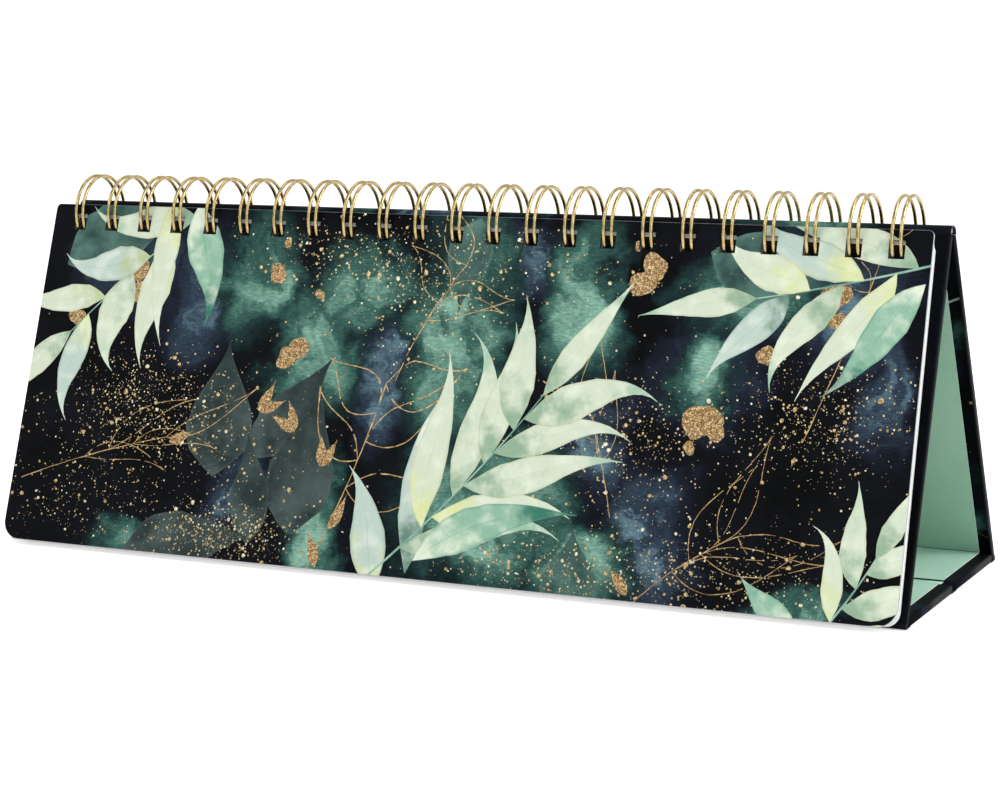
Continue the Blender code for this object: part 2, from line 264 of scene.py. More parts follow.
def printed_ground(name, teal_spots, navy_spots, rarer=0.0):
    """Watercolour washes of teal and dusty navy over near black, on linen-embossed laminate."""
    r = Recipe(name)
    uv = r.uv()
    wander = {"Vector": uv, "Scale": 3.2, "Detail": 5.0, "Roughness": 0.62}
    drift = r.node("TexNoise", wander).outputs["Color"]
    shift = r.vector_math("SUBTRACT", drift, (0.5, 0.5, 0.5))
    warped = r.vector_math("MULTIPLY_ADD", shift, (0.42, 0.42, 0.0), uv)
    pools = r.noise(warped, 5.5, 6.0, 0.6, 0.4)
    if teal_spots:
        teal = layered(r, [cloud(r, warped, *spot) for spot in teal_spots])
        navy = layered(r, [cloud(r, warped, *spot) for spot in navy_spots])
    else:
        teal = r.span(r.noise(warped, 1.9, 2.0), 0.5 + rarer, 0.66 + rarer)
        elsewhere = r.stretch(warped, (1, 1, 1), (7.1, 3.3, 0))
        navy = r.span(r.noise(elsewhere, 2.3, 2.0), 0.5 + rarer, 0.66 + rarer)
    wash = r.span(pools, 0.25, 0.72, 0.42, 1.15)
    teal = r.math("MULTIPLY", teal, wash, clamp=True)
    navy = r.math("MULTIPLY", navy, wash, clamp=True)
    base = r.ramp(r.noise(warped, 4.0, 4.0), [(0.35, "060708"), (0.7, "0f1218")])
    navy_paint = r.ramp(navy, [(0.0, "090b10"), (1.0, "56707c"), (0.4, "171c28"), (0.75, "2c3a48")])
    teal_paint = r.ramp(teal, [(0.0, "0a1214"), (1.0, "78a090"), (0.28, "182c2d"), (0.62, "365a52")])
    colour = r.mix(r.span(navy, 0.02, 0.3), base, navy_paint)
    colour = r.mix(r.span(teal, 0.03, 0.3), colour, teal_paint)
    weave = linen(r, uv)
    brush = r.noise(r.stretch(uv, (45, 190, 1)), 1.0, 3.0, 0.7)
    # Uneven ink along the brush strokes, times painted shade on the linen weave: darker in its low threads,
    # lighter on its raised ones.
    ink_tone_and_weave_shade = r.math("MULTIPLY", r.span(brush, 0.3, 0.7, 0.72, 1.3), r.span(weave, 0.1, 1.4, 0.86, 1.12))
    colour = r.shaded(colour, ink_tone_and_weave_shade)
    roughness = r.span(brush, 0.3, 0.7, 0.46, 0.6)
    return r.finish(colour, roughness, r.bump(weave, 0.16, 0.00006), Specular_IOR_Level=0.03)


def printed_leaf(name, body, foot, tip, rim, sunny="c9cf98"):
    """Watercolour leaf: a wash from foot to tip, pigment gathered at the rim, and a faint midrib.

    The leaf's own tone sets its patch of wash, how far its tip is coloured and how yellow its foot is.
    """
    r = Recipe(name)
    along, across, _ = r.node("SeparateXYZ", {"Vector": r.uv("shape")}).outputs
    uv = r.uv()
    tone = r.node("Attribute", attribute_name="tone").outputs["Fac"]
    own_patch = r.vector_math("ADD", uv, r.node("CombineXYZ", {0: tone, 1: tone}).outputs[0])
    blotch = r.noise(own_patch, 9.0, 5.0, 0.6)
    wander = r.math("ADD", along, r.span(blotch, 0.2, 0.8, -0.3, 0.3))
    root = r.mix(r.span(tone, 0.55, 0.25), srgb(foot), srgb(sunny))
    colour = r.mix(r.span(wander, 0.02, 0.42), root, srgb(body))
    tipped = r.math("MULTIPLY", r.span(wander, 0.6, 1.02), r.span(tone, 0.25, 0.9))
    colour = r.mix(tipped, colour, srgb(tip))
    pale = r.mix(r.span(r.noise(uv, 16.0, 3.0), 0.45, 0.72, 0.0, 0.4), colour, srgb("e0e6d6"))
    edge = r.math("ABSOLUTE", across)
    rimmed = r.mix(r.span(edge, 0.78, 1.0, 0.0, 0.45), pale, srgb(rim))
    veined = r.mix(r.span(edge, 0.07, 0.0, 0.0, 0.25), rimmed, srgb(rim))
    weave = linen(r, uv)
    # Painted shade and light on the linen weave: a little darker in its low threads, lighter on its raised
    # ones.
    colour = r.shaded(veined, r.span(weave, 0.1, 1.4, 0.95, 1.03))
    return r.finish(colour, r.span(blotch, 0.3, 0.7, 0.48, 0.6), r.bump(weave, 0.14, 0.00006),
                    Specular_IOR_Level=0.08)


def ghost_leaf(name, dark, light):
    """A dim leaf of thin paint, its wash uneven and lighter towards the foot."""
    r = Recipe(name)
    along, across, _ = r.node("SeparateXYZ", {"Vector": r.uv("shape")}).outputs
    uv = r.uv()
    blotch = r.noise(uv, 7.0, 5.0, 0.6)
    factor = r.math("MULTIPLY", r.span(blotch, 0.3, 0.7), r.span(along, 1.1, 0.0, 0.35, 1.0))
    colour = r.mix(factor, srgb(dark), srgb(light))
    colour = r.mix(r.span(r.math("ABSOLUTE", across), 0.86, 1.0, 0.0, 0.3), colour, srgb(light))
    weave = linen(r, uv)
    return r.finish(colour, r.span(blotch, 0.3, 0.7, 0.48, 0.6), r.bump(weave, 0.16, 0.00006),
                    Specular_IOR_Level=0.04)


def glitter(name, dark, mid, light, size):
    """Crushed gold foil: each flake is painted its own brightness from dark to light gold, a painted glint
    that stands in for flakes facing different ways, and sits at its own height in the bump.
    """
    r = Recipe(name)
    uv = r.uv()
    flake = r.node("TexVoronoi", {"Vector": uv, "Scale": size}, feature="F1").outputs["Color"]
    level = r.node("SeparateColor", {"Color": flake}).outputs[0]
    # Painted glint: the flake's random level picks its colour from dark through mid to light gold.
    colour = r.ramp(level, [(0.0, dark), (1.0, light), (0.5, mid)])
    mottled = r.mix(r.span(r.noise(uv, size / 4, 3.0), 0.4, 0.62, 0.0, 0.7), colour, srgb(dark))
    height = r.math("ADD", level, r.noise(uv, size * 1.6, 2.0))
    return r.finish(mottled, r.span(level, 0.0, 1.0, 0.5, 0.28), r.bump(height, 0.7, 0.00012),
                    Metallic=0.75)


def foil_line(name, dark, light):
    r = Recipe(name)
    uv = r.uv()
    streak = r.noise(uv, 60.0, 4.0, 0.7)
    colour = r.mix(r.span(streak, 0.35, 0.65), srgb(dark), srgb(light))
    return r.finish(colour, r.span(streak, 0.3, 0.7, 0.42, 0.3), r.bump(streak, 0.3, 0.00008), Metallic=0.6)


def splash(name, dark, light):
    r = Recipe(name)
    speck = r.noise(r.uv(), 90.0, 3.0, 0.6)
    colour = r.mix(r.span(speck, 0.36, 0.64), srgb(dark), srgb(light))
    return r.finish(colour, r.span(speck, 0.3, 0.7, 0.5, 0.36), r.bump(speck, 0.3, 0.00006), Metallic=0.45)


def fibres(recipe, vector, scale):
    """Paper fibre as a height: long strands at two slants over a fine tooth."""
    strands = recipe.noise(recipe.stretch(vector, (scale, scale * 5, scale)), 1.0, 3.0, 0.6)
    crossed = recipe.noise(recipe.stretch(vector, (scale * 5, scale, scale)), 1.0, 3.0, 0.6)
    return recipe.math("ADD", strands, crossed)


def raw_card(name, dark, light, scale=2600.0):
    """A cut edge of card or board: pressed layers and short fibres. In dark brown it is slot_shade, painted
    shade for the inside of the slots.
    """
    r = Recipe(name)
    where = r.position()
    tooth = fibres(r, where, scale)
    fleck = r.noise(where, scale * 0.4, 2.0)
    colour = r.mix(r.span(tooth, 0.8, 1.2), srgb(dark), srgb(light))
    colour = r.mix(r.span(fleck, 0.62, 0.72, 0.0, 0.5), colour, srgb(dark))
    return r.finish(colour, r.span(tooth, 0.8, 1.2, 0.85, 0.72), r.bump(tooth, 0.5, 0.00005),
                    Specular_IOR_Level=0.3)


def page_paper(name, ruled):
    """Uncoated page stock; a ruled page has a faint printed week grid with no lettering."""
    r = Recipe(name)
    where = r.position()
    tooth = fibres(r, where, 1500.0)
    colour = r.mix(r.span(tooth, 0.8, 1.2), srgb("d6d6d4"), srgb("e2e2df"))
    if ruled:
        x, s, _ = r.node("SeparateXYZ", {"Vector": r.uv()}).outputs
        rows = r.math("PINGPONG", r.math("ADD", s, 0.02), 0.04)
        columns = r.math("PINGPONG", x, 0.205)
        body = r.math("MULTIPLY", r.span(s, 0.87, 0.871), -1.0)
        lines = r.math("MULTIPLY", r.span(rows, 0.0016, 0.0006), r.math("ADD", body, 1.0))
        heavy = r.math("MULTIPLY", r.span(columns, 0.0024, 0.0012), r.span(s, 0.95, 0.949))
        colour = r.mix(r.math("MULTIPLY", lines, 0.4), colour, srgb("7fa294"))
        colour = r.mix(r.math("MULTIPLY", heavy, 0.7), colour, srgb("47776a"))
        band = r.math("MULTIPLY", r.span(s, 0.873, 0.874), r.span(s, 0.943, 0.942))
        colour = r.mix(r.math("MULTIPLY", band, 0.5), colour, srgb("bcd8c8"))
    return r.finish(colour, r.span(tooth, 0.8, 1.2, 0.78, 0.66), r.bump(tooth, 0.25, 0.00003),
                    Specular_IOR_Level=0.35)


def mint_lining(name, dark, light, fibre):
    """Mint lining paper: fibre tooth, slightly uneven ink, and a pale cut edge at its two ends."""
    r = Recipe(name)
    coordinates = r.node("TexCoord").outputs
    where = coordinates["Object"]
    tooth = fibres(r, where, 1300.0)
    ink = r.noise(where, 26.0, 4.0)
    colour = r.mix(r.span(ink, 0.35, 0.65), srgb(dark), srgb(light))
    colour = r.mix(r.span(tooth, 0.85, 1.2, 0.0, 0.35), colour, srgb(fibre))
    sideways = r.math("ABSOLUTE", r.node("SeparateXYZ", {"Vector": coordinates["Normal"]}).outputs[0])
    colour = r.mix(r.span(sideways, 0.8, 0.95), colour, srgb("e6ebe6"))
    return r.finish(colour, r.span(tooth, 0.8, 1.2, 0.72, 0.6), r.bump(tooth, 0.3, 0.00004),
                    Specular_IOR_Level=0.35)


def wire_gold(name):
    """Champagne-gold coated wire, with faint drawing lines and rubbed spots."""
    r = Recipe(name)
    where = r.position()
    scuffs = r.noise(r.stretch(where, (600, 600, 600)), 1.0, 4.0, 0.65)
    drawn = r.noise(r.stretch(where, (3200, 500, 500)), 1.0, 2.0)
    colour = r.mix(r.span(scuffs, 0.4, 0.66), srgb("a8935f"), srgb("c6b384"))
    roughness = r.math("ADD", r.span(scuffs, 0.35, 0.7, 0.16, 0.34), r.span(drawn, 0.3, 0.7, 0.0, 0.06))
    return r.finish(colour, roughness, r.bump(drawn, 0.12, 0.00002), Metallic=1.0)


def studio_floor(name):
    """Matt white board that glows a little, so that it meets the white world with no horizon."""
    r = Recipe(name)
    where = r.position()
    tone = r.noise(where, 2.0, 3.0)
    colour = r.mix(r.span(tone, 0.3, 0.7), srgb("f1f1ef"), srgb("f4f4f2"))
    return r.finish(colour, r.span(tone, 0.3, 0.7, 0.7, 0.8), r.bump(r.noise(where, 900.0), 0.05, 0.0002),
                    Specular_IOR_Level=0.2, Emission_Color=(1, 1, 1, 1), Emission_Strength=0.46)


MATERIALS = {
    "cover_ground": printed_ground("cover_ground", TEAL_CLOUDS, NAVY_CLOUDS),
    "wrap_ground": printed_ground("wrap_ground", (), ()),
    "wrap_dark": printed_ground("wrap_dark", (), (), 0.13),
    "wrap_dark_edge": raw_card("wrap_cut_edge", "34363a", "5c5f64"),
    # slot_shade is painted shade: a dark brown card colour on the slot walls and above the slots, for the
    # shadow inside them.
    "slot_shade": raw_card("slot_shade", "1d1713", "362b22", 1800.0),
    "leaf": printed_leaf("leaf_mint", "c2ccb8", "86a189", "8bb098", "adb48c"),
    "mist": printed_leaf("leaf_mist", "aebfb6", "5c7d70", "cfd8cb", "83998c"),
    "deep": printed_leaf("leaf_deep", "84ab95", "cdd7c2", "34705e", "4b8470"),
    "ghost": ghost_leaf("leaf_ghost", "1f2a2b", "4a5856"),
    "veil": ghost_leaf("leaf_veil", "233838", "57796f"),
    "stem": ghost_leaf("stem_paint", "5f8a7b", "a9c4b4"),
    "glitter": glitter("gold_glitter", "5f4322", "a8824f", "f2dcae", 420.0),
    "line": foil_line("gold_line", "826438", "bd9e6e"),
    "dot": splash("gold_splash", "8c7145", "cbb27f"),
    "pale_dot": splash("pale_splash", "a39a78", "e2dcc0"),
    "card_edge": raw_card("card_edge", "8f9098", "aaabb2"),
    "card_back": page_paper("card_back", False),
    "paper": page_paper("page_plain", False),
    "ruled": page_paper("page_ruled", True),
    "board": raw_card("greyboard", "6d6c69", "8f8d88", 1400.0),
    "lining": mint_lining("mint_lining", "84aa94", "90b39e", "a3c4b3"),
    # The base's lining is the same mint paper painted lighter: painted light, for the light that falls on the
    # base's floor through the open ends.
    "lining_with_painted_light": mint_lining("mint_lining_with_painted_light", "a3cab6", "aed3c0", "bddccc"),
    "wire": wire_gold("wire_gold"),
    "floor": studio_floor("studio_floor"),
}


# ---------------------------------------------------------------- printed shapes


class Shape:
    """One printed area: a kind of paint, its outline in (x, s), and a leaf's spine and half widths."""

    def __init__(self, kind, outline, tone=0.0, spine=None, halves=None):
        self.kind, self.tone, self.spine, self.halves = kind, tone, spine, halves
        area = sum(a[0] * b[1] - b[0] * a[1] for a, b in zip(outline, outline[1:] + outline[:1]))
        self.outline = outline if area > 0 else outline[::-1]

    def local(self, point):
        """How far along the leaf a point is, from 0 to 1, and how far across, from -1 to 1."""
        if self.spine is None:
            return (0.5, 0.0)
        spine = np.array(self.spine)
        steps = spine[1:] - spine[:-1]
        lengths = np.maximum((steps**2).sum(axis=1), 1e-9)
        share = np.clip(((point - spine[:-1]) * steps).sum(axis=1) / lengths, 0, 1)
        nearest = spine[:-1] + steps * share[:, None]
        gaps = np.linalg.norm(point - nearest, axis=1)
        k = int(np.argmin(gaps))
        half = self.halves[k] * (1 - share[k]) + self.halves[k + 1] * share[k]
        side = np.sign(steps[k][0] * (point - nearest[k])[1] - steps[k][1] * (point - nearest[k])[0])
        return ((k + share[k]) / len(steps), float(side * min(gaps[k] / max(half, 0.05), 1.0)))


def turned(angle, length=1.0):
    return np.array([math.cos(angle), math.sin(angle)]) * length


def leaf_spine(foot, heading, length, width, bend, flick, rng, steps=16, jitter=0.05):
    """The middle line of a willow leaf and its half widths: widest before the middle, its tip drawn out."""
    spine, halves = [], []
    point = np.array(foot, float)
    for k in range(steps + 1):
        u = k / steps
        spine.append(point.copy())
        swell = math.sin(math.pi * u**0.66) ** 1.5
        halves.append(max(width / 2 * swell * (1 + rng.uniform(-jitter, jitter)), 0.06))
        angle = heading + bend * (u - 0.4) + flick * (u**2.2 - 0.15)
        point = point + turned(angle, length / steps)
    return spine, halves


def side_points(spine, halves, side):
    points = []
    for k, (point, half) in enumerate(zip(spine, halves)):
        a, b = spine[max(k - 1, 0)], spine[min(k + 1, len(spine) - 1)]
        along = (b - a) / max(np.linalg.norm(b - a), 1e-6)
        points.append(point + side * half * np.array([-along[1], along[0]]))
    return points


def leaf(kind, foot, heading, length, width, bend, rng, flick=0.0, tone=None, jitter=0.05):
    heading, bend, flick = (math.radians(a) for a in (heading, bend, flick))
    spine, halves = leaf_spine(foot, heading, length, width, bend, flick, rng, jitter=jitter)
    outline = side_points(spine, halves, -1) + side_points(spine, halves, 1)[::-1]
    return Shape(kind, [tuple(p) for p in outline], rng.random() if tone is None else tone, spine, halves)


def ribbon(kind, points, widths):
    """A line of print as a run of four-sided shapes."""
    halves = [w / 2 for w in widths]
    left, right = side_points(points, halves, 1), side_points(points, halves, -1)
    return [
        Shape(kind, [tuple(right[k]), tuple(right[k + 1]), tuple(left[k + 1]), tuple(left[k])])
        for k in range(len(points) - 1)
    ]


def curve_points(foot, heading, length, bend, steps=14, wobble=0.0, rng=None):
    points, point = [], np.array(foot, float)
    for k in range(steps + 1):
        points.append(point.copy())
        sway = wobble * rng.uniform(-1, 1) if rng else 0.0
        point = point + turned(math.radians(heading + bend * k / steps) + sway, length / steps)
    return points


def sprig(kinds, foot, heading, length, bend, leaves, size, spread, rng, first=0.12):
    """A stem with leaves to alternate sides and one at its end."""
    stem = curve_points(foot, heading, length, bend, 18)
    shapes = []
    for k in range(leaves):
        share = first + (1 - first) * k / leaves
        at = stem[round(share * 18)]
        side = 1 if k % 2 else -1
        angle = heading + bend * share + side * spread * rng.uniform(0.85, 1.15)
        long = size[0] * (1 - 0.3 * share) * rng.uniform(0.85, 1.12)
        bend_in, flick = side * -rng.uniform(45, 80), side * rng.uniform(70, 130)
        shapes.append(leaf(kinds[k % len(kinds)], at, angle, long, size[1] * rng.uniform(0.85, 1.15),
                           bend_in, rng, flick))
    shapes.append(leaf(kinds[0], stem[-1], heading + bend, size[0] * 0.8, size[1] * 0.85,
                       rng.uniform(-20, 20), rng))
    return ribbon("stem", stem, [0.75 - 0.4 * k / 18 for k in range(19)]) + shapes


def broken_line(points, weight, rng):
    """A hand-drawn line: its width wavers, and now and then the foil has not taken."""
    drawn = ribbon("line", points, [weight * rng.uniform(0.5, 1.3) for _ in points])
    return [shape for shape in drawn if rng.random() > 0.1]


def outlined_leaf(foot, heading, length, width, bend, rng, weight=0.24):
    """A leaf drawn as two loose gold lines that don't quite meet."""
    heading, bend = math.radians(heading), math.radians(bend)
    spine, halves = leaf_spine(foot, heading, length, width, bend, 0.0, rng, 20, 0.02)
    return [
        shape for side in (-1, 1) for shape in broken_line(side_points(spine, halves, side), weight, rng)
    ]


def line_spray(foot, heading, length, bend, leaves, size, spread, rng, weight=0.27):
    """A stem drawn in gold with outlined leaves."""
    stem = curve_points(foot, heading, length, bend, 20, 0.05, rng)
    shapes = broken_line(stem, weight, rng)
    for k in range(leaves):
        share = 0.3 + 0.7 * (k + 1) / leaves
        side = 1 if k % 2 else -1
        at = stem[min(round(share * 20), 20)]
        shapes += outlined_leaf(at, heading + bend * share + side * spread * rng.uniform(0.6, 1.2),
                                size[0] * rng.uniform(0.75, 1.15), size[1] * rng.uniform(0.7, 1.2),
                                side * rng.uniform(-60, 70), rng, weight * 0.85)
    return shapes


def blob(kind, centre, radius, rng, points=22, rough=0.16):
    phases = [rng.uniform(0, 2 * math.pi) for _ in range(3)]
    outline = []
    for k in range(points):
        a = 2 * math.pi * k / points
        swell = 1 + rough * sum(math.sin(a * (n + 2) + p) / (n + 1) for n, p in enumerate(phases))
        swell += rng.uniform(-0.05, 0.05)
        outline.append((centre[0] + radius * swell * math.cos(a), centre[1] + radius * swell * math.sin(a)))
    return Shape(kind, outline)


def spatter(clusters, rng):
    """Flicked paint: many fine dots that gather round the middle of each cluster, with a few large ones."""
    shapes = []
    for x, s, wide, tall, count in clusters:
        for _ in range(count):
            centre = (rng.gauss(x, wide), rng.gauss(s, tall))
            radius = 0.1 + 0.26 * rng.random() ** 2.6
            if rng.random() < 0.035:
                radius += rng.uniform(0.15, 0.5)
            kind = "pale_dot" if rng.random() < 0.25 else "dot"
            shapes.append(blob(kind, centre, radius, rng, 5 if radius < 0.3 else 10, 0.08))
    return shapes


def cover_print():
    rng = random.Random(41)
    shapes = [
        leaf("ghost", (-74, 26), 91, 44, 24, 0, rng), leaf("ghost", (-62, 33), 52, 42, 17, 12, rng),
        leaf("ghost", (-44, 10), 84, 48, 24, -8, rng), leaf("ghost", (-58, 6), 98, 36, 14, 10, rng),
        leaf("ghost", (-104, -4), 16, 50, 22, -24, rng), leaf("veil", (84, 104), 350, 44, 22, 20, rng),
        leaf("veil", (-142, 92), 28, 52, 24, -16, rng), leaf("veil", (8, 112), 262, 30, 15, 16, rng),
        leaf("veil", (52, -6), 92, 26, 18, 0, rng),
    ]
    shapes += line_spray((-152, 18), 24, 62, -12, 4, (34, 6), 16, rng)
    shapes += line_spray((-36, 0), 66, 62, 12, 5, (32, 15), 62, rng, 0.42)
    shapes += line_spray((-14, 60), 72, 42, -18, 4, (26, 9), 58, rng)
    shapes += line_spray((70, -2), 48, 40, -22, 5, (34, 9), 40, rng)
    shapes += line_spray((62, 24), 104, 30, 8, 3, (26, 8), 24, rng)
    shapes += line_spray((118, 50), 70, 62, 6, 3, (20, 6), 40, rng)
    shapes += spatter(
        [
            (-104, 48, 17, 10, 1000), (-84, 34, 28, 14, 500), (-68, 8, 16, 5, 800), (-34, 98, 24, 8, 560),
            (-128, 14, 14, 9, 300), (64, 46, 16, 11, 700), (122, 56, 14, 10, 800), (92, 10, 28, 8, 1000),
            (36, 8, 20, 6, 420), (20, 96, 28, 9, 360), (-8, 88, 14, 14, 420), (0, 56, 90, 34, 500),
        ],
        rng,
    )
    for x, s, radius in (
        (-114, 91, 4.0), (-112, 84, 3.2), (-135, 75, 3.0), (-149, 58, 2.6), (-61, 92, 3.1), (-45, 86, 1.6),
        (-50, 68, 3.8), (-54, 65, 3.2), (-59, 102, 1.5), (67, 99, 4.0), (64, 94, 4.2), (87, 54, 5.6),
        (91, 52, 3.4), (84, 46, 1.9), (105, 74, 3.2), (123, 92, 4.4), (125, 85, 2.8), (61, 105, 1.4),
    ):
        shapes.append(blob("glitter", (x, s), radius, rng))
    for foot, heading in (((-61, 48), 62), ((-61, 48), 20), ((-47, 42), 152), ((-47, 42), 108),
                          ((-36, 32), 96), ((-36, 32), 60), ((-30, 13), 66), ((-92, 36), 24),
                          ((-33, 1), 110), ((70, 2), 130)):
        shapes.append(leaf("glitter", foot, heading, rng.uniform(9, 13), 3.6, 16, rng))
    shapes += sprig(["leaf", "leaf", "mist"], (-82, 120), 219, 74, 8, 6, (47, 10.5), 34, rng, 0.25)
    shapes.append(leaf("deep", (-94, 114), 290, 42, 13, 60, rng, -95, tone=0.9))
    shapes.append(leaf("leaf", (-104, 116), 268, 50, 9, -34, rng, 60, tone=0.2))
    shapes.append(leaf("mist", (-12, -4), 104, 40, 12, -40, rng, 70, tone=0.3))
    shapes.append(leaf("mist", (-2, 2), 92, 56, 9, 44, rng, -80, tone=0.8))
    shapes += sprig(["leaf", "leaf", "leaf"], (-18, -3), 43, 82, 12, 9, (56, 10), 31, rng, 0.22)
    shapes.append(leaf("deep", (0, 6), 22, 56, 12, -44, rng, tone=0.9))
    shapes += sprig(["leaf", "leaf", "mist"], (156, 104), 196, 58, -6, 6, (46, 10), 33, rng, 0.15)
    shapes.append(leaf("deep", (149, 97), 236, 44, 11, 46, rng, -60, tone=0.95))
    shapes += sprig(["leaf", "leaf"], (126, -6), 50, 30, 14, 5, (34, 7.5), 36, rng, 0.1)
    shapes.append(leaf("deep", (122, -4), 142, 24, 8, -16, rng, tone=0.95))
    return shapes


def rear_print():
    """The outside of the rear panel: its own, sparser arrangement of the same paint."""
    rng = random.Random(77)
    shapes = [
        leaf("ghost", (60, 20), 80, 50, 24, 8, rng), leaf("ghost", (84, 14), 110, 44, 20, -8, rng),
        leaf("veil", (-120, 60), 40, 46, 20, 10, rng), leaf("veil", (-40, 4), 120, 40, 18, 0, rng),
        leaf("ghost", (-90, 80), 300, 40, 18, 0, rng),
    ]
    shapes += line_spray((150, 8), 150, 70, -12, 5, (34, 8), 24, rng)
    shapes += line_spray((-20, -2), 84, 60, 14, 5, (30, 13), 56, rng)
    shapes += line_spray((-150, 70), 340, 60, 30, 4, (28, 8), 34, rng)
    shapes += spatter(
        [
            (100, 40, 26, 18, 280), (20, 20, 34, 12, 240), (-60, 70, 30, 16, 240), (-110, 22, 22, 12, 180),
            (0, 58, 90, 32, 220),
        ],
        rng,
    )
    for x, s, radius in ((92, 72, 4.4), (88, 66, 3.0), (14, 66, 3.6), (-52, 42, 4.8), (-110, 80, 3.4),
                         (130, 26, 3.0)):
        shapes.append(blob("glitter", (x, s), radius, rng))
    shapes += sprig(["leaf", "leaf", "mist"], (152, 96), 204, 80, 10, 8, (42, 10), 36, rng)
    shapes += sprig(["leaf", "leaf", "leaf"], (-70, 0), 52, 86, -12, 9, (40, 10), 37, rng)
    shapes += sprig(["leaf", "mist"], (-152, 20), 24, 56, 20, 6, (34, 9), 38, rng)
    shapes.append(leaf("deep", (48, 0), 128, 44, 12, 24, rng, tone=0.9))
    return shapes


def dusting(seed, clusters):
    return spatter(clusters, random.Random(seed))


# ---------------------------------------------------------------- flat pieces


def corner(centre_x, centre_s, radius, start, steps=6):
    return [
        (centre_x + radius * math.cos(math.radians(start + 90 * k / steps)),
         centre_s + radius * math.sin(math.radians(start + 90 * k / steps)))
        for k in range(steps + 1)
    ]


def rounded_sheet(width, foot, top, radius, top_radius):
    half = width / 2
    outline = corner(-half + radius, foot + radius, radius, 180, 10)
    outline += corner(half - radius, foot + radius, radius, 270, 10)
    outline += corner(half - top_radius, top - top_radius, top_radius, 0)
    outline += corner(-half + top_radius, top - top_radius, top_radius, 90)
    return outline


def rectangle(left, low, right, high):
    return [(left, low), (right, low), (right, high), (left, high)]


def slots(low, high, half):
    return [rectangle(x - half, low, x + half, high) for x in RING_XS]


def triangulate(loops):
    """Triangles of a plane cut by loops, and for each one the loops that it lies in."""
    points, faces = [], []
    for loop in loops:
        faces.append(list(range(len(points), len(points) + len(loop))))
        points += [Vector(p) for p in loop]
    found = delaunay_2d_cdt(points, [], faces, 1, 1e-4)
    return found[0], found[2], found[3], found[5]


def boundary(triangles):
    """The open edges of a set of triangles, joined into loops that keep the triangles on their left."""
    edges = {(t[i], t[(i + 1) % 3]) for t in triangles for i in range(3)}
    following = {a: b for a, b in edges if (b, a) not in edges}
    loops = []
    while following:
        start = min(following)
        loop, here = [start], following.pop(start)
        while here != start:
            loop.append(here)
            here = following.pop(here)
        loops.append(loop)
    return loops


def outward(points, loop):
    """At each point of a loop, the direction away from the sheet, long enough to keep a corner square."""
    directions = []
    for k, index in enumerate(loop):
        before, here, after = points[loop[k - 1]], points[index], points[loop[(k + 1) % len(loop)]]
        normals = []
        for a, b in ((before, here), (here, after)):
            step = (b - a).normalized()
            normals.append(Vector((step.y, -step.x)))
        middle = (normals[0] + normals[1]) / 2
        directions.append(middle / max(middle.length_squared, 0.3))
    return directions


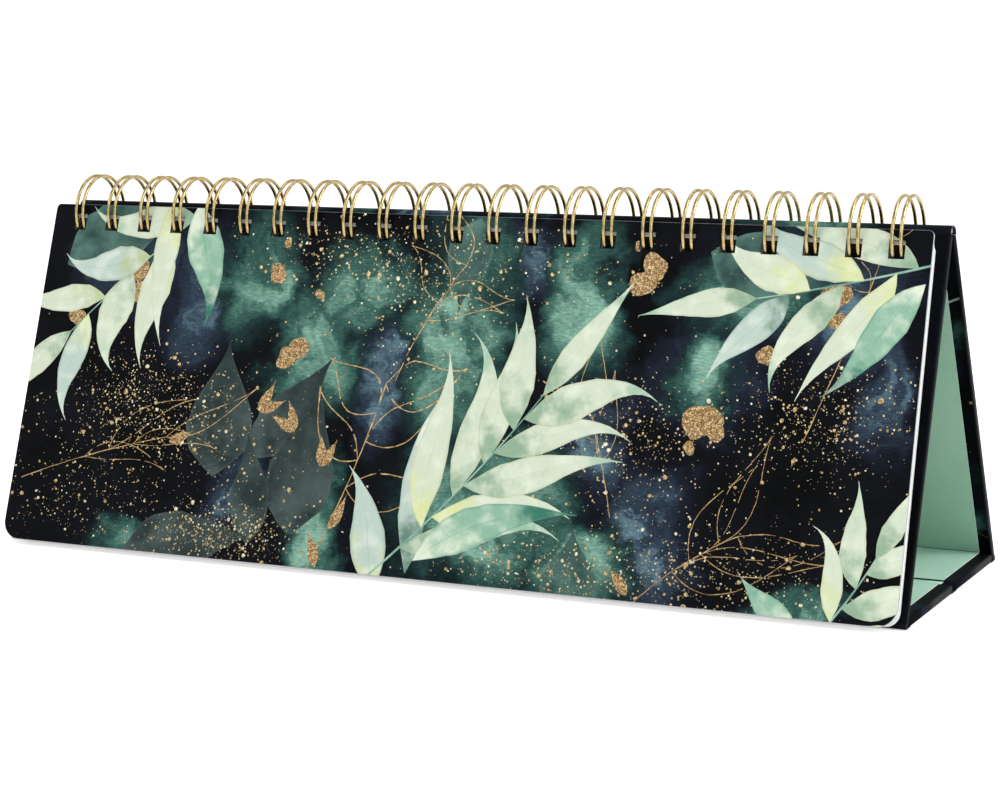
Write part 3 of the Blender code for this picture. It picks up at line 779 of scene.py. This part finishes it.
def slab(name, plane, outline, holes, rim, inks, shapes=(), sideways=False, uv_shift=(0.0, 0.0)):
    """A flat solid with its print set into its front face.

    rim is a list of (offset, depth) from the front edge of the outline to its back edge. inks names the
    materials of the front, rim, slot walls and back. With sideways, the rim stands out along x only.
    """
    kinds = [inks["front"], inks["rim"], inks["wall"], inks["back"]]
    kinds += [shape.kind for shape in shapes]
    used = list(dict.fromkeys(kinds))
    loops = [outline, *holes, *(shape.outline for shape in shapes)]
    points, faces, _, origins = triangulate(loops)
    first_shape = 1 + len(holes)
    mesh = bmesh.new()
    sheet_uv, shape_uv = mesh.loops.layers.uv.new("sheet"), mesh.loops.layers.uv.new("shape")
    tone = mesh.faces.layers.float.new("tone")
    flat = []

    def vertex(point, depth):
        flat.append((point[0], point[1], depth))
        return mesh.verts.new(plane.at(point[0], point[1], depth))

    def face(corners, ink, shape=None, smooth=False):
        made = mesh.faces.new(corners)
        made.material_index = used.index(ink)
        made.smooth = smooth
        for loop in made.loops:
            x, s, depth = flat[order[loop.vert]]
            across = depth if smooth or made.material_index == used.index(inks["rim"]) else 0.0
            loop[sheet_uv].uv = ((x + math.copysign(across, x)) / 100 + uv_shift[0], s / 100 + uv_shift[1])
            loop[shape_uv].uv = shape.local(np.array([x, s])) if shape else (0.5, 0.0)
        made[tone] = shape.tone if shape else 0.0

    kept = []
    for corners, origin in zip(faces, origins):
        if 0 not in origin or any(1 <= o < first_shape for o in origin):
            continue
        on_top = max(origin)
        kept.append((corners, shapes[on_top - first_shape] if on_top >= first_shape else None))
    order = {}
    front = {}
    for corners, _ in kept:
        for index in corners:
            if index not in front:
                front[index] = vertex(points[index], rim[0][1])
                order[front[index]] = len(flat) - 1
    for corners, shape in kept:
        face([front[i] for i in corners], shape.kind if shape else inks["front"], shape)
    back_loops, back_verts, outer = [], [], 0
    for loop in boundary([corners for corners, _ in kept]):
        is_outer = sum(points[a].cross(points[b]) for a, b in zip(loop, loop[1:] + loop[:1])) > 0
        away = outward(points, loop)
        if sideways:
            edge = max(abs(p[0]) for p in outline) - 1e-3
            away = [Vector((math.copysign(abs(points[i].x) > edge, points[i].x), 0)) for i in loop]
        ring = [front[i] for i in loop]
        for offset, depth in rim[1:] if is_outer else rim[-1:]:
            reach = offset if is_outer else 0.0
            fresh = []
            for index, direction in zip(loop, away):
                fresh.append(vertex(points[index] + direction * reach, depth))
                order[fresh[-1]] = len(flat) - 1
            for k in range(len(loop)):
                j = (k + 1) % len(loop)
                open_end = sideways and not (away[k].length and away[j].length)
                ink = inks["rim"] if is_outer and not open_end else inks["wall"]
                face([ring[j], ring[k], fresh[k], fresh[j]], ink, smooth=is_outer and len(rim) > 3)
            ring = fresh
        if is_outer:
            outer = len(back_loops)
        back_loops.append([flat[order[v]][:2] for v in ring])
        back_verts += ring
    _, back_faces, sources, origins = triangulate(back_loops)
    for corners, origin in zip(back_faces, origins):
        if origin == [outer]:
            face([back_verts[sources[i][0]] for i in reversed(corners)], inks["back"])
    bmesh.ops.recalc_face_normals(mesh, faces=mesh.faces[:])
    return finish_mesh(name, mesh, used)


def finish_mesh(name, mesh, inks):
    data = bpy.data.meshes.new(name)
    mesh.to_mesh(data)
    mesh.free()
    for ink in inks:
        data.materials.append(MATERIALS[ink])
    piece = bpy.data.objects.new(name, data)
    bpy.context.scene.collection.objects.link(piece)
    return piece


def cover_node(piece, body, slot, *nodes):
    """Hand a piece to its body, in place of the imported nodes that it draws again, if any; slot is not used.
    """
    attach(piece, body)
    if nodes:
        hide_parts(*nodes)


def wire_crossing(depth):
    """How far up the sheet the rings cross it, at a depth behind the cover's face."""
    foot = SHEET.point(0, depth)
    offset = (foot - RING_CENTRE) @ -SHEET.inward
    return (RING_CENTRE - foot) @ SHEET.up - math.sqrt(RING_RADIUS**2 - offset**2)


def bound_sheet(name, size, thickness, depth, radius, slot, inks, shapes=(), lift=0.0, shift=0.0,
                shaded=False):
    """A sheet of the pad, hung on the rings at its depth.

    slot is how far below its top edge its slots start and end. A shaded sheet is dark above its slots.
    """
    top = wire_crossing(depth + thickness / 2) + WIRE_BELOW_TOP + lift
    outline = rounded_sheet(size[0], top - size[1], top, radius, TOP_ROUND)
    outline = [(x + shift, s) for x, s in outline]
    holes = slots(top - slot[1], top - slot[0], SLOT_HALF)
    if shaded:
        strips = slots(top - slot[0], top - SHADE_BELOW_TOP, SHADE_HALF)
        shapes = [Shape("slot_shade", strip) for strip in strips]
    ease = min(0.07, thickness / 4)
    rim = [(0, depth), (ease, depth + ease), (ease, depth + thickness - ease), (0, depth + thickness)]
    if thickness < 0.5:
        rim = [(0, depth), (0, depth + thickness)]
    return slab(name, SHEET, outline, holes, rim, inks, shapes)


def rounded_rim(depth, radius, steps=4):
    """The side of a wrapped board: a quarter turn out of its face, down its edge and a quarter turn in."""
    rim = []
    for k in range(steps + 1):
        a = math.pi / 2 * k / steps
        rim.append((radius * math.sin(a), radius * (1 - math.cos(a))))
    for k in range(steps + 1):
        a = math.pi / 2 * k / steps
        rim.append((radius * math.cos(a), depth - radius * (1 - math.sin(a))))
    return rim


def wrapped_panel(name, plane, low, high, slot_range, shapes, uv_shift, ground):
    half = EASEL_HALF - EDGE_ROUND
    outline = rectangle(-half, low, half, high)
    holes = slots(*slot_range, EASEL_SLOT_HALF) if slot_range else []
    inks = {"front": ground, "rim": ground, "wall": "slot_shade", "back": ground}
    rim = rounded_rim(PANEL_DEPTH, EDGE_ROUND)
    return slab(name, plane, outline, holes, rim, inks, shapes, sideways=True, uv_shift=uv_shift)


def thick_strip(name, path, thickness, half, inks, uv_shift=(0.0, 0.0), columns=60):
    """A band of covering paper along a side-view path, its second face to the left of the path."""
    path = [np.array(p, float) for p in path]
    moved = side_points(path, [thickness] * len(path), 1)
    lengths = [0.0]
    for a, b in zip(path, path[1:]):
        lengths.append(lengths[-1] + float(np.linalg.norm(b - a)))
    mesh = bmesh.new()
    uv = mesh.loops.layers.uv.new("sheet")
    section = path + moved[::-1]
    travel = lengths + lengths[::-1]
    xs = [-half + 2 * half * k / columns for k in range(columns + 1)]
    rows = [[mesh.verts.new(place(x, p)) for p in section] for x in xs]
    count = len(section)

    def face(corners, uvs, ink, smooth):
        made = mesh.faces.new(corners)
        made.material_index = inks.index(ink)
        made.smooth = smooth
        for loop, value in zip(made.loops, uvs):
            loop[uv].uv = (value[0] / 100 + uv_shift[0], value[1] / 100 + uv_shift[1])

    for a in range(columns):
        for k in range(count):
            j = (k + 1) % count
            end = k in (len(path) - 1, count - 1)
            uvs = [(xs[a], travel[k]), (xs[a + 1], travel[k]), (xs[a + 1], travel[j]), (xs[a], travel[j])]
            corners = [rows[a][k], rows[a + 1][k], rows[a + 1][j], rows[a][j]]
            face(corners, uvs, inks[-1] if end else inks[0], not end)
    for row, x in ((rows[0], xs[0]), (rows[-1], xs[-1])):
        for k in range(len(path) - 1):
            corners = [row[k], row[k + 1], row[count - 2 - k], row[count - 1 - k]]
            face(corners, [(x, travel[k])] * 4, inks[-1], False)
    bmesh.ops.recalc_face_normals(mesh, faces=mesh.faces[:])
    return finish_mesh(name, mesh, inks)


# ---------------------------------------------------------------- the binding


def rounded_corner(before, here, after, radius, steps=5):
    """Points that turn from one straight run to the next through a rounded corner."""
    start = here + (before - here).normalized() * radius
    end = here + (after - here).normalized() * radius
    points = []
    for k in range(steps + 1):
        u = k / steps
        points.append(start * (1 - u) ** 2 + here * 2 * u * (1 - u) + end * u**2)
    return points


def unrolled_wire():
    """The wire's course in (x, distance round the loops), as if the rings were rolled out flat."""
    start, tip = (math.radians(a) * RING_RADIUS for a in (SEAM_START, SEAM_TIP))
    first, last = start - LINK_START, tip + WIRE_SPREAD
    strand = [first + (last - first) * k / STRAND_STEPS for k in range(STRAND_STEPS + 1)]
    points = []
    for i, x in enumerate(RING_XS):
        left, right = x - WIRE_SPREAD, x + WIRE_SPREAD
        if i:
            arriving, leaving = Vector((left - LINK_ALONG, start)), Vector((left, start - LINK_BACK))
            points += rounded_corner(arriving, Vector((left, start)), leaving, LINK_ROUND)
        points += [Vector((left, along)) for along in strand]
        for k in range(1, TIP_STEPS):
            a = math.pi * k / TIP_STEPS
            drop = WIRE_SPREAD * math.sin(a) * TIP_ROUND
            points.append(Vector((x - WIRE_SPREAD * math.cos(a), last - drop)))
        points += [Vector((right, along)) for along in reversed(strand)]
        if i < RING_COUNT - 1:
            arriving, leaving = Vector((right, start - LINK_BACK)), Vector((right + LINK_ALONG, start))
            points += rounded_corner(arriving, Vector((right, start)), leaving, LINK_ROUND)
    return points


def on_ring(point):
    angle = point.y / RING_RADIUS
    return place(point.x, RING_CENTRE + RING_RADIUS * turned(angle))


def tube(name, path, radius, sides, ink):
    """A round wire swept along a path, with domed ends."""
    mesh = bmesh.new()
    tangents = []
    for k in range(len(path)):
        a, b = path[max(k - 1, 0)], path[min(k + 1, len(path) - 1)]
        tangents.append((b - a).normalized())
    normal = tangents[0].orthogonal().normalized()
    rings = []
    domes = [(0.35, 0.94), (0.72, 0.69), (0.95, 0.3)]
    first, last = tangents[0], tangents[-1]
    sections = [(path[0] - first * radius * out, first, wide) for out, wide in reversed(domes)]
    sections += [(p, t, 1.0) for p, t in zip(path, tangents)]
    sections += [(path[-1] + last * radius * out, last, wide) for out, wide in domes]
    for centre, tangent, wide in sections:
        normal = (normal - tangent * normal.dot(tangent)).normalized()
        side = tangent.cross(normal)
        ring = []
        for k in range(sides):
            a = 2 * math.pi * k / sides
            spoke = normal * math.cos(a) + side * math.sin(a)
            ring.append(mesh.verts.new(centre + spoke * radius * wide))
        rings.append(ring)
    for low, high in zip(rings, rings[1:]):
        for k in range(sides):
            j = (k + 1) % sides
            mesh.faces.new((low[k], low[j], high[j], high[k])).smooth = True
    for ring, end in ((rings[0], -1), (rings[-1], 1)):
        mesh.faces.new(ring if end > 0 else ring[::-1]).smooth = True
    bmesh.ops.recalc_face_normals(mesh, faces=mesh.faces[:])
    return finish_mesh(name, mesh, [ink])


def build_wire():
    path = [on_ring(p) for p in unrolled_wire()]
    kept = [path[0]]
    for point in path[1:]:
        if (point - kept[-1]).length > 0.05 * MM:
            kept.append(point)
    wire = tube("wire_loops", kept, WIRE_RADIUS * MM, 12, "wire")
    cover_node(wire, "easel_front", "gold_wire", "wire_comb")


# ---------------------------------------------------------------- the pad


def build_pad():
    inks = {"front": "cover_ground", "rim": "card_edge", "wall": "slot_shade", "back": "card_back"}
    cover = bound_sheet("cover_card", COVER_SIZE, COVER_THICK, 0.0, COVER_ROUND, COVER_SLOT, inks,
                        cover_print())
    cover_node(cover, "cover", "cover_card", "cover", "cover_rail")
    plain = {"front": "ruled", "rim": "paper", "wall": "slot_shade", "back": "ruled"}
    for number, depth in enumerate(LEAF_DEPTHS, start=1):
        name = f"leaf_{number}"
        page = bound_sheet(f"planner_{name}", LEAF_SIZE, LEAF_THICK, depth, LEAF_ROUND, LEAF_SLOT, plain)
        cover_node(page, name, "page_paper", name, f"{name}_rail")
    build_block(plain)


def build_block(inks):
    """The rest of the leaves, each its own sheet, very slightly out of line with its neighbours.

    Above the slots the inner sheets carry painted shade: dark strips that stand in for the shadow in a real
    slot, a deep dark hole.
    """
    rng = random.Random(5)
    step = (BLOCK_BACK - BLOCK_FRONT) / BLOCK_SHEETS
    sheets = []
    for k in range(BLOCK_SHEETS):
        depth = BLOCK_FRONT + step * k
        sheets.append(
            bound_sheet(f"page_{k}", LEAF_SIZE, LEAF_THICK, depth, LEAF_ROUND, BLOCK_SLOT, inks,
                        lift=rng.uniform(-0.12, 0.12), shift=rng.uniform(-0.16, 0.16), shaded=k > 0)
        )
    cover_node(joined("page_stack", sheets), "page_block", "page_paper", "page_block")


def joined(name, pieces):
    bpy.ops.object.select_all(action="DESELECT")
    for piece in pieces:
        piece.select_set(True)
    bpy.context.view_layer.objects.active = pieces[0]
    bpy.ops.object.join()
    pieces[0].name = name
    return pieces[0]


# ---------------------------------------------------------------- the easel


def build_easel():
    front_end, rear_start = CREASE_Y - CREASE_GAP, CREASE_Y + CREASE_GAP
    front_dust, rear_dust = dusting(8, [(0, 25, 90, 12, 160)]), dusting(9, [(0, 72, 90, 12, 160)])
    panels = (
        ("easel_front", "front", FRONT, PANEL_FOOT, FRONT_HEIGHT, FRONT_SLOT,
         dusting(3, [(0, 60, 60, 30, 240)]), (5.3, 2.1), "wrap_dark"),
        ("easel_rear", "rear", REAR, PANEL_FOOT, REAR_HEIGHT, REAR_SLOT,
         rear_print(), (11.2, 6.4), "wrap_ground"),
        ("base_front", "base_front", BASE, CORNER_GAP, front_end, None,
         front_dust, BASE_SHIFT, "wrap_dark"),
        ("base_rear", "base_rear", BASE, rear_start, BASE_DEPTH - CORNER_GAP, None,
         rear_dust, BASE_SHIFT, "wrap_dark"),
    )
    for body, name, *form in panels:
        panel = wrapped_panel(f"{name}_panel", *form)
        cover_node(panel, body, "printed_wrap", f"{name}_wrap", f"{name}_board")
    build_hinges(front_end, rear_start)
    repaint("front_liner", "lining")
    # The base's liners get the lighter mint, painted light on the floor of the tent.
    for name in ("base_front_liner", "base_rear_liner"):
        repaint(name, "lining_with_painted_light")
    inks = dict.fromkeys(("front", "rim", "wall", "back"), "lining")
    paper = rectangle(-LINING_HALF, LINING_FOOT, LINING_HALF, REAR_SLOT[0] - LINING_BELOW_SLOT)
    lining = slab("rear_lining", REAR, paper, [], [(0, LINING_DEPTH), (0, LINING_DEPTH + LINING)], inks)
    cover_node(lining, "easel_rear", "mint_paper", "rear_liner")
    repaint("spine_board", "board")


def repaint(node, ink):
    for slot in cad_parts[node].material_slots:
        slot.material = MATERIALS[ink]


def smooth_path(corners, steps=6):
    """A side-view path through rounded corners."""
    points = [Vector(corners[0])]
    for before, here, after in zip(corners, corners[1:], corners[2:]):
        before, here, after = Vector(before), Vector(here), Vector(after)
        radius = min((before - here).length, (after - here).length) * 0.5
        points += rounded_corner(before, here, after, radius, steps)
    points.append(Vector(corners[-1]))
    kept = [points[0]]
    for point in points[1:]:
        if (point - kept[-1]).length > 0.02:
            kept.append(point)
    return [tuple(p) for p in kept]


def bend(piece, node, bodies, start, end):
    """Paper across a fold, its shape baked in, drawn in place of the imported node; bodies, start and end are
    not used.
    """
    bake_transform(piece)
    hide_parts(node)


def build_hinges(front_end, rear_start):
    """The covering paper that bends at the ridge and the feet, and the two halves of the crease."""
    printed, patched = ["wrap_dark", "wrap_dark_edge"], ["wrap_ground", "wrap_dark_edge"]
    front_top = FRONT.point(FRONT_HEIGHT + HINGE_CLEAR, 0.0)
    rear_top = REAR.point(REAR_HEIGHT + HINGE_CLEAR, 0.0)
    middle, reach = (front_top + rear_top) / 2, (rear_top - front_top) / 2
    arch = []
    for k in range(25):
        a = math.pi * k / 24
        arch.append(middle - reach * math.cos(a) + np.array([0.0, RIDGE_RISE * math.sin(a) ** 0.8]))
    ridge = thick_strip("ridge_spine", arch, -RIDGE_COVERING, EASEL_HALF, patched, (15.0, 1.0))
    bend(ridge, "ridge_wrap", ("easel_front", "easel_rear"), arch[6], arch[18])
    near, far = CORNER_GAP + HINGE_CLEAR, BASE_DEPTH - CORNER_GAP - HINGE_CLEAR
    feet = (
        ("front", FRONT, near, FOOT_ROUND, -COVERING),
        ("rear", REAR, far, BASE_DEPTH - FOOT_ROUND, COVERING),
    )
    for side, plane, inner, outer, thickness in feet:
        foot = plane.point(PANEL_FOOT + HINGE_CLEAR, 0.0)
        path = smooth_path([(inner, 0.0), (outer, 0.0), tuple(foot)])
        strip = thick_strip(f"{side}_corner", path, thickness, EASEL_HALF, printed, BASE_SHIFT)
        bend(strip, f"{side}_foot_hinge", (f"easel_{side}", f"base_{side}"), path[-2], path[1])
    halves = (
        ("base_front", front_end - HINGE_CLEAR, CREASE_Y - CREASE_CLEAR, ["crease_hinge"], ["crease_liner"]),
        ("base_rear", CREASE_Y + CREASE_CLEAR, rear_start + HINGE_CLEAR, [], []),
    )
    for body, low, high, hinges, liners in halves:
        strip = thick_strip(f"{body}_crease", [(low, 0.0), ((low + high) / 2, 0.0), (high, 0.0)], COVERING,
                            EASEL_HALF, printed, (BASE_SHIFT[0], BASE_SHIFT[1] + low / 100))
        cover_node(strip, body, "printed_wrap", *hinges)
        level = [(low, CREASE_LINING_DEPTH), (high, CREASE_LINING_DEPTH)]
        # The crease lining gets the lighter mint too: painted light on the base's floor.
        inner = thick_strip(f"{body}_crease_lining", level, LINING, LINING_HALF, ["lining_with_painted_light"])
        cover_node(inner, body, "mint_paper", *liners)


# ---------------------------------------------------------------- the studio


FLOOR_RADIUS, FLOOR_BELOW = 6.0, 0.0002


def build_floor():
    mesh = bmesh.new()
    bmesh.ops.create_circle(mesh, cap_ends=True, segments=96, radius=FLOOR_RADIUS)
    floor = finish_mesh("studio_floor", mesh, ["floor"])
    floor.location.z = CAD_BOX[0][2] - FLOOR_BELOW


def aim(item, spot, target):
    item.location = spot
    item.rotation_euler = (Vector(target) - Vector(spot)).to_track_quat("-Z", "Y").to_euler()


def add_light(name, spot, size, power, tint):
    data = bpy.data.lights.new(name, "AREA")
    data.shape = "RECTANGLE"
    data.size, data.size_y = size
    data.energy = power
    data.color = tint
    light = bpy.data.objects.new(name, data)
    bpy.context.scene.collection.objects.link(light)
    aim(light, spot, (0, 0, 0.05))


def light_studio():
    """A white world to the camera, and soft uneven panels of light round the object."""
    world = bpy.data.worlds.new("studio")
    world.use_nodes = True
    tree = world.node_tree
    seen = tree.nodes["Background"]
    seen.inputs["Color"].default_value = (1, 1, 1, 1)
    lighting = tree.nodes.new("ShaderNodeBackground")
    facing = tree.nodes.new("ShaderNodeTexCoord")
    panels = tree.nodes.new("ShaderNodeTexNoise")
    panels.inputs["Scale"].default_value = 1.3
    panels.inputs["Detail"].default_value = 0.0
    ramp = tree.nodes.new("ShaderNodeValToRGB")
    ramp.color_ramp.elements[0].position, ramp.color_ramp.elements[1].position = 0.36, 0.46
    ramp.color_ramp.elements[0].color = (0.42, 0.43, 0.45, 1)
    ramp.color_ramp.elements[1].color = (0.96, 0.96, 0.95, 1)
    ray = tree.nodes.new("ShaderNodeLightPath")
    choose = tree.nodes.new("ShaderNodeMixShader")
    for source, target in (
        (facing.outputs["Generated"], panels.inputs["Vector"]),
        (panels.outputs["Fac"], ramp.inputs["Fac"]),
        (ramp.outputs["Color"], lighting.inputs["Color"]),
        (ray.outputs["Is Camera Ray"], choose.inputs["Fac"]),
        (lighting.outputs["Background"], choose.inputs[1]),
        (seen.outputs["Background"], choose.inputs[2]),
        (choose.outputs["Shader"], tree.nodes["World Output"].inputs["Surface"]),
    ):
        tree.links.new(source, target)
    bpy.context.scene.world = world
    bpy.context.scene.view_settings.view_transform = "Standard"
    add_light("key", (-0.75, -0.95, 0.95), (0.9, 0.7), 5.0, (1.0, 0.985, 0.96))
    add_light("fill", (0.95, -0.5, 0.45), (0.7, 0.7), 2.5, (0.95, 0.98, 1.0))
    add_light("top", (0.1, 0.35, 1.1), (1.0, 0.5), 2.2, (1.0, 1.0, 1.0))
    add_light("side", (0.6, 0.08, 0.5), (0.25, 0.25), 2.0, (1.0, 1.0, 1.0))


CAMERA_SPOT = (0.33927, -0.69147, 0.16802)
AZIMUTH, ELEVATION, ROLL = math.radians(25.74), math.radians(5.33), math.radians(-0.44)
LENS, SENSOR, SHIFT_Y = 88.44, 36.0, -0.15


def add_camera():
    forward = Vector((-math.sin(AZIMUTH) * math.cos(ELEVATION), math.cos(AZIMUTH) * math.cos(ELEVATION),
                      -math.sin(ELEVATION)))
    right = Vector((math.cos(AZIMUTH), math.sin(AZIMUTH), 0))
    up = right.cross(forward)
    turned_right = right * math.cos(ROLL) + up * math.sin(ROLL)
    turned_up = up * math.cos(ROLL) - right * math.sin(ROLL)
    data = bpy.data.cameras.new("camera")
    data.lens, data.sensor_width, data.shift_y = LENS, SENSOR, SHIFT_Y
    camera = bpy.data.objects.new("camera", data)
    bpy.context.scene.collection.objects.link(camera)
    axes = Matrix((turned_right, turned_up, -forward)).transposed().to_4x4()
    camera.matrix_world = Matrix.Translation(CAMERA_SPOT) @ axes
    bpy.context.scene.camera = camera


add_camera()
build_wire()
build_pad()
build_easel()
build_floor()
light_studio()
